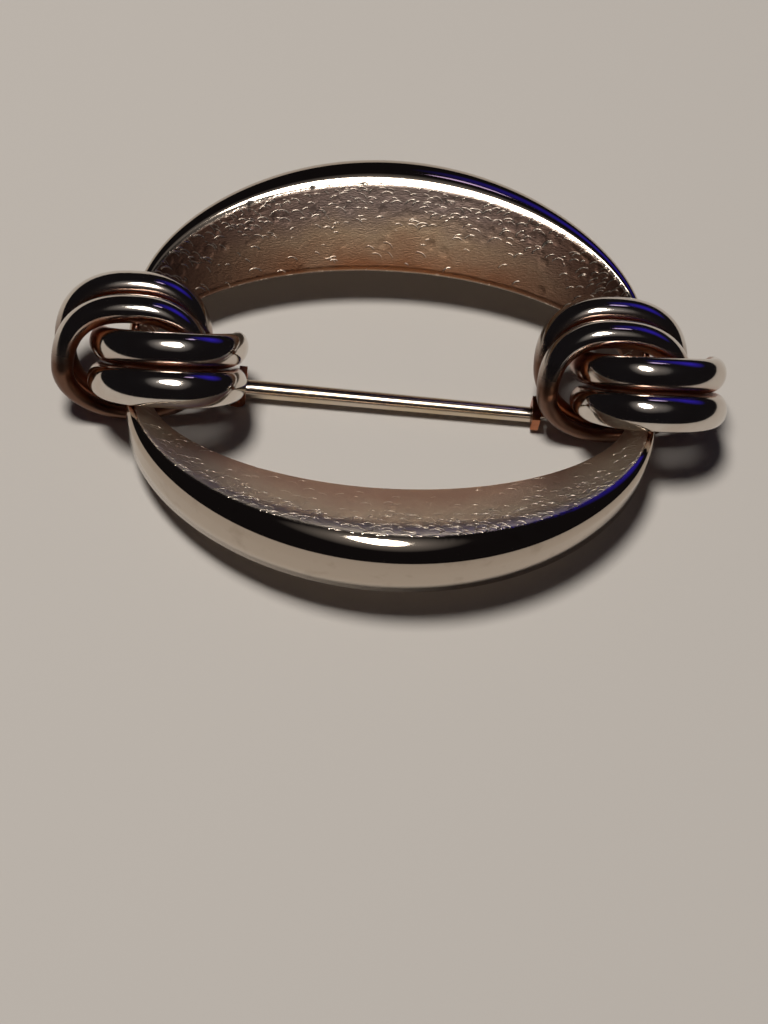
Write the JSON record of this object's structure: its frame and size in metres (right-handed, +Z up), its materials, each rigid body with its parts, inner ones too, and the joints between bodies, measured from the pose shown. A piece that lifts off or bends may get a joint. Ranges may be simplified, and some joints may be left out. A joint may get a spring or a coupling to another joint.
{
  "type": "brooch",
  "caption": "Oval silver brooch: a domed open band with a textured slope, a knot of interlocked wire rings at each end, and a hinged pin stem across the opening.",
  "frame": {"origin": "under the middle of the brooch, in the plane that the knots rest on", "axes": "+X along the oval from the hinge end to the catch end, +Y across the oval towards its back, +Z up through the domed face"},
  "size_m": [0.0418, 0.03, 0.008],
  "materials": {
    "band_silver": "satin textured slope and polished rim, tarnished",
    "wire_silver": "polished",
    "pin_silver": "polished"
  },
  "bodies": {
    "brooch": {"oval_frame": "band_silver", "hinge_bracket": "pin_silver", "hinge_rivet": "pin_silver", "pin_catch": "pin_silver", "left_knot_back_inner_wire": "wire_silver", "left_knot_back_outer_wire": "wire_silver", "left_knot_front_inner_wire": "wire_silver", "left_knot_front_outer_wire": "wire_silver", "right_knot_back_inner_wire": "wire_silver", "right_knot_back_outer_wire": "wire_silver", "right_knot_front_inner_wire": "wire_silver", "right_knot_front_outer_wire": "wire_silver"},
    "pin": {"pin_stem": "pin_silver"}
  },
  "joints": [
    {"name": "pin_hinge", "type": "hinge", "parent": "brooch", "child": "pin", "pos_m": [-0.00952, 0.00022, 0.00072], "axis": [0.0508, 0.9987, 0], "range_deg": [0, 90]}
  ]
}
